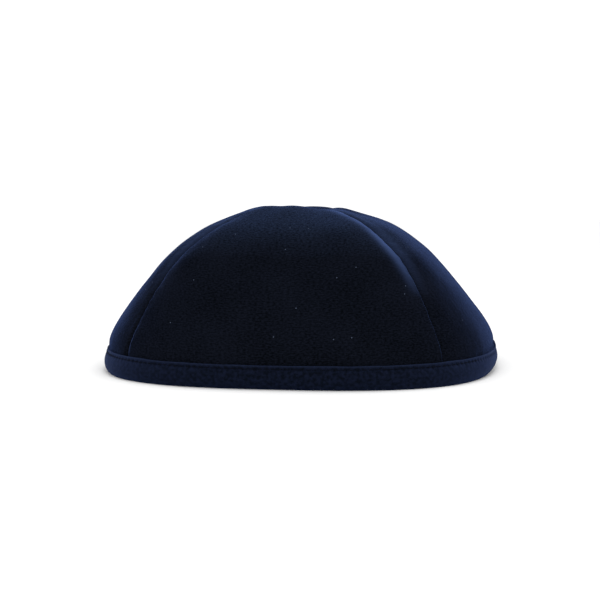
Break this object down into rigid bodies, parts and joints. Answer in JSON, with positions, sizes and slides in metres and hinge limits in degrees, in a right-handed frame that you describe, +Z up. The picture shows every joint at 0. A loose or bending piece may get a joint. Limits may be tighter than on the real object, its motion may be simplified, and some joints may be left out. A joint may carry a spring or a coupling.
{
  "type": "kippah skullcap",
  "caption": "Velvet kippah: curved gores sewn into a shallow crown with a fabric binding folded round the rim.",
  "frame": {"origin": "centre of the rim on the surface that the cap stands on", "axes": "+Z up through the crown; -Y is the middle of the front panel, +X the middle of the right panel"},
  "size_m": [0.1812, 0.1812, 0.0746],
  "materials": {
    "velvet": "dark navy short-pile velvet",
    "binding": "dark navy twill bias binding, satin"
  },
  "bodies": {
    "root": {"panel_front": "velvet", "panel_right": "velvet", "panel_back": "velvet", "panel_left": "velvet", "rim_binding": "binding"}
  },
  "joints": []
}
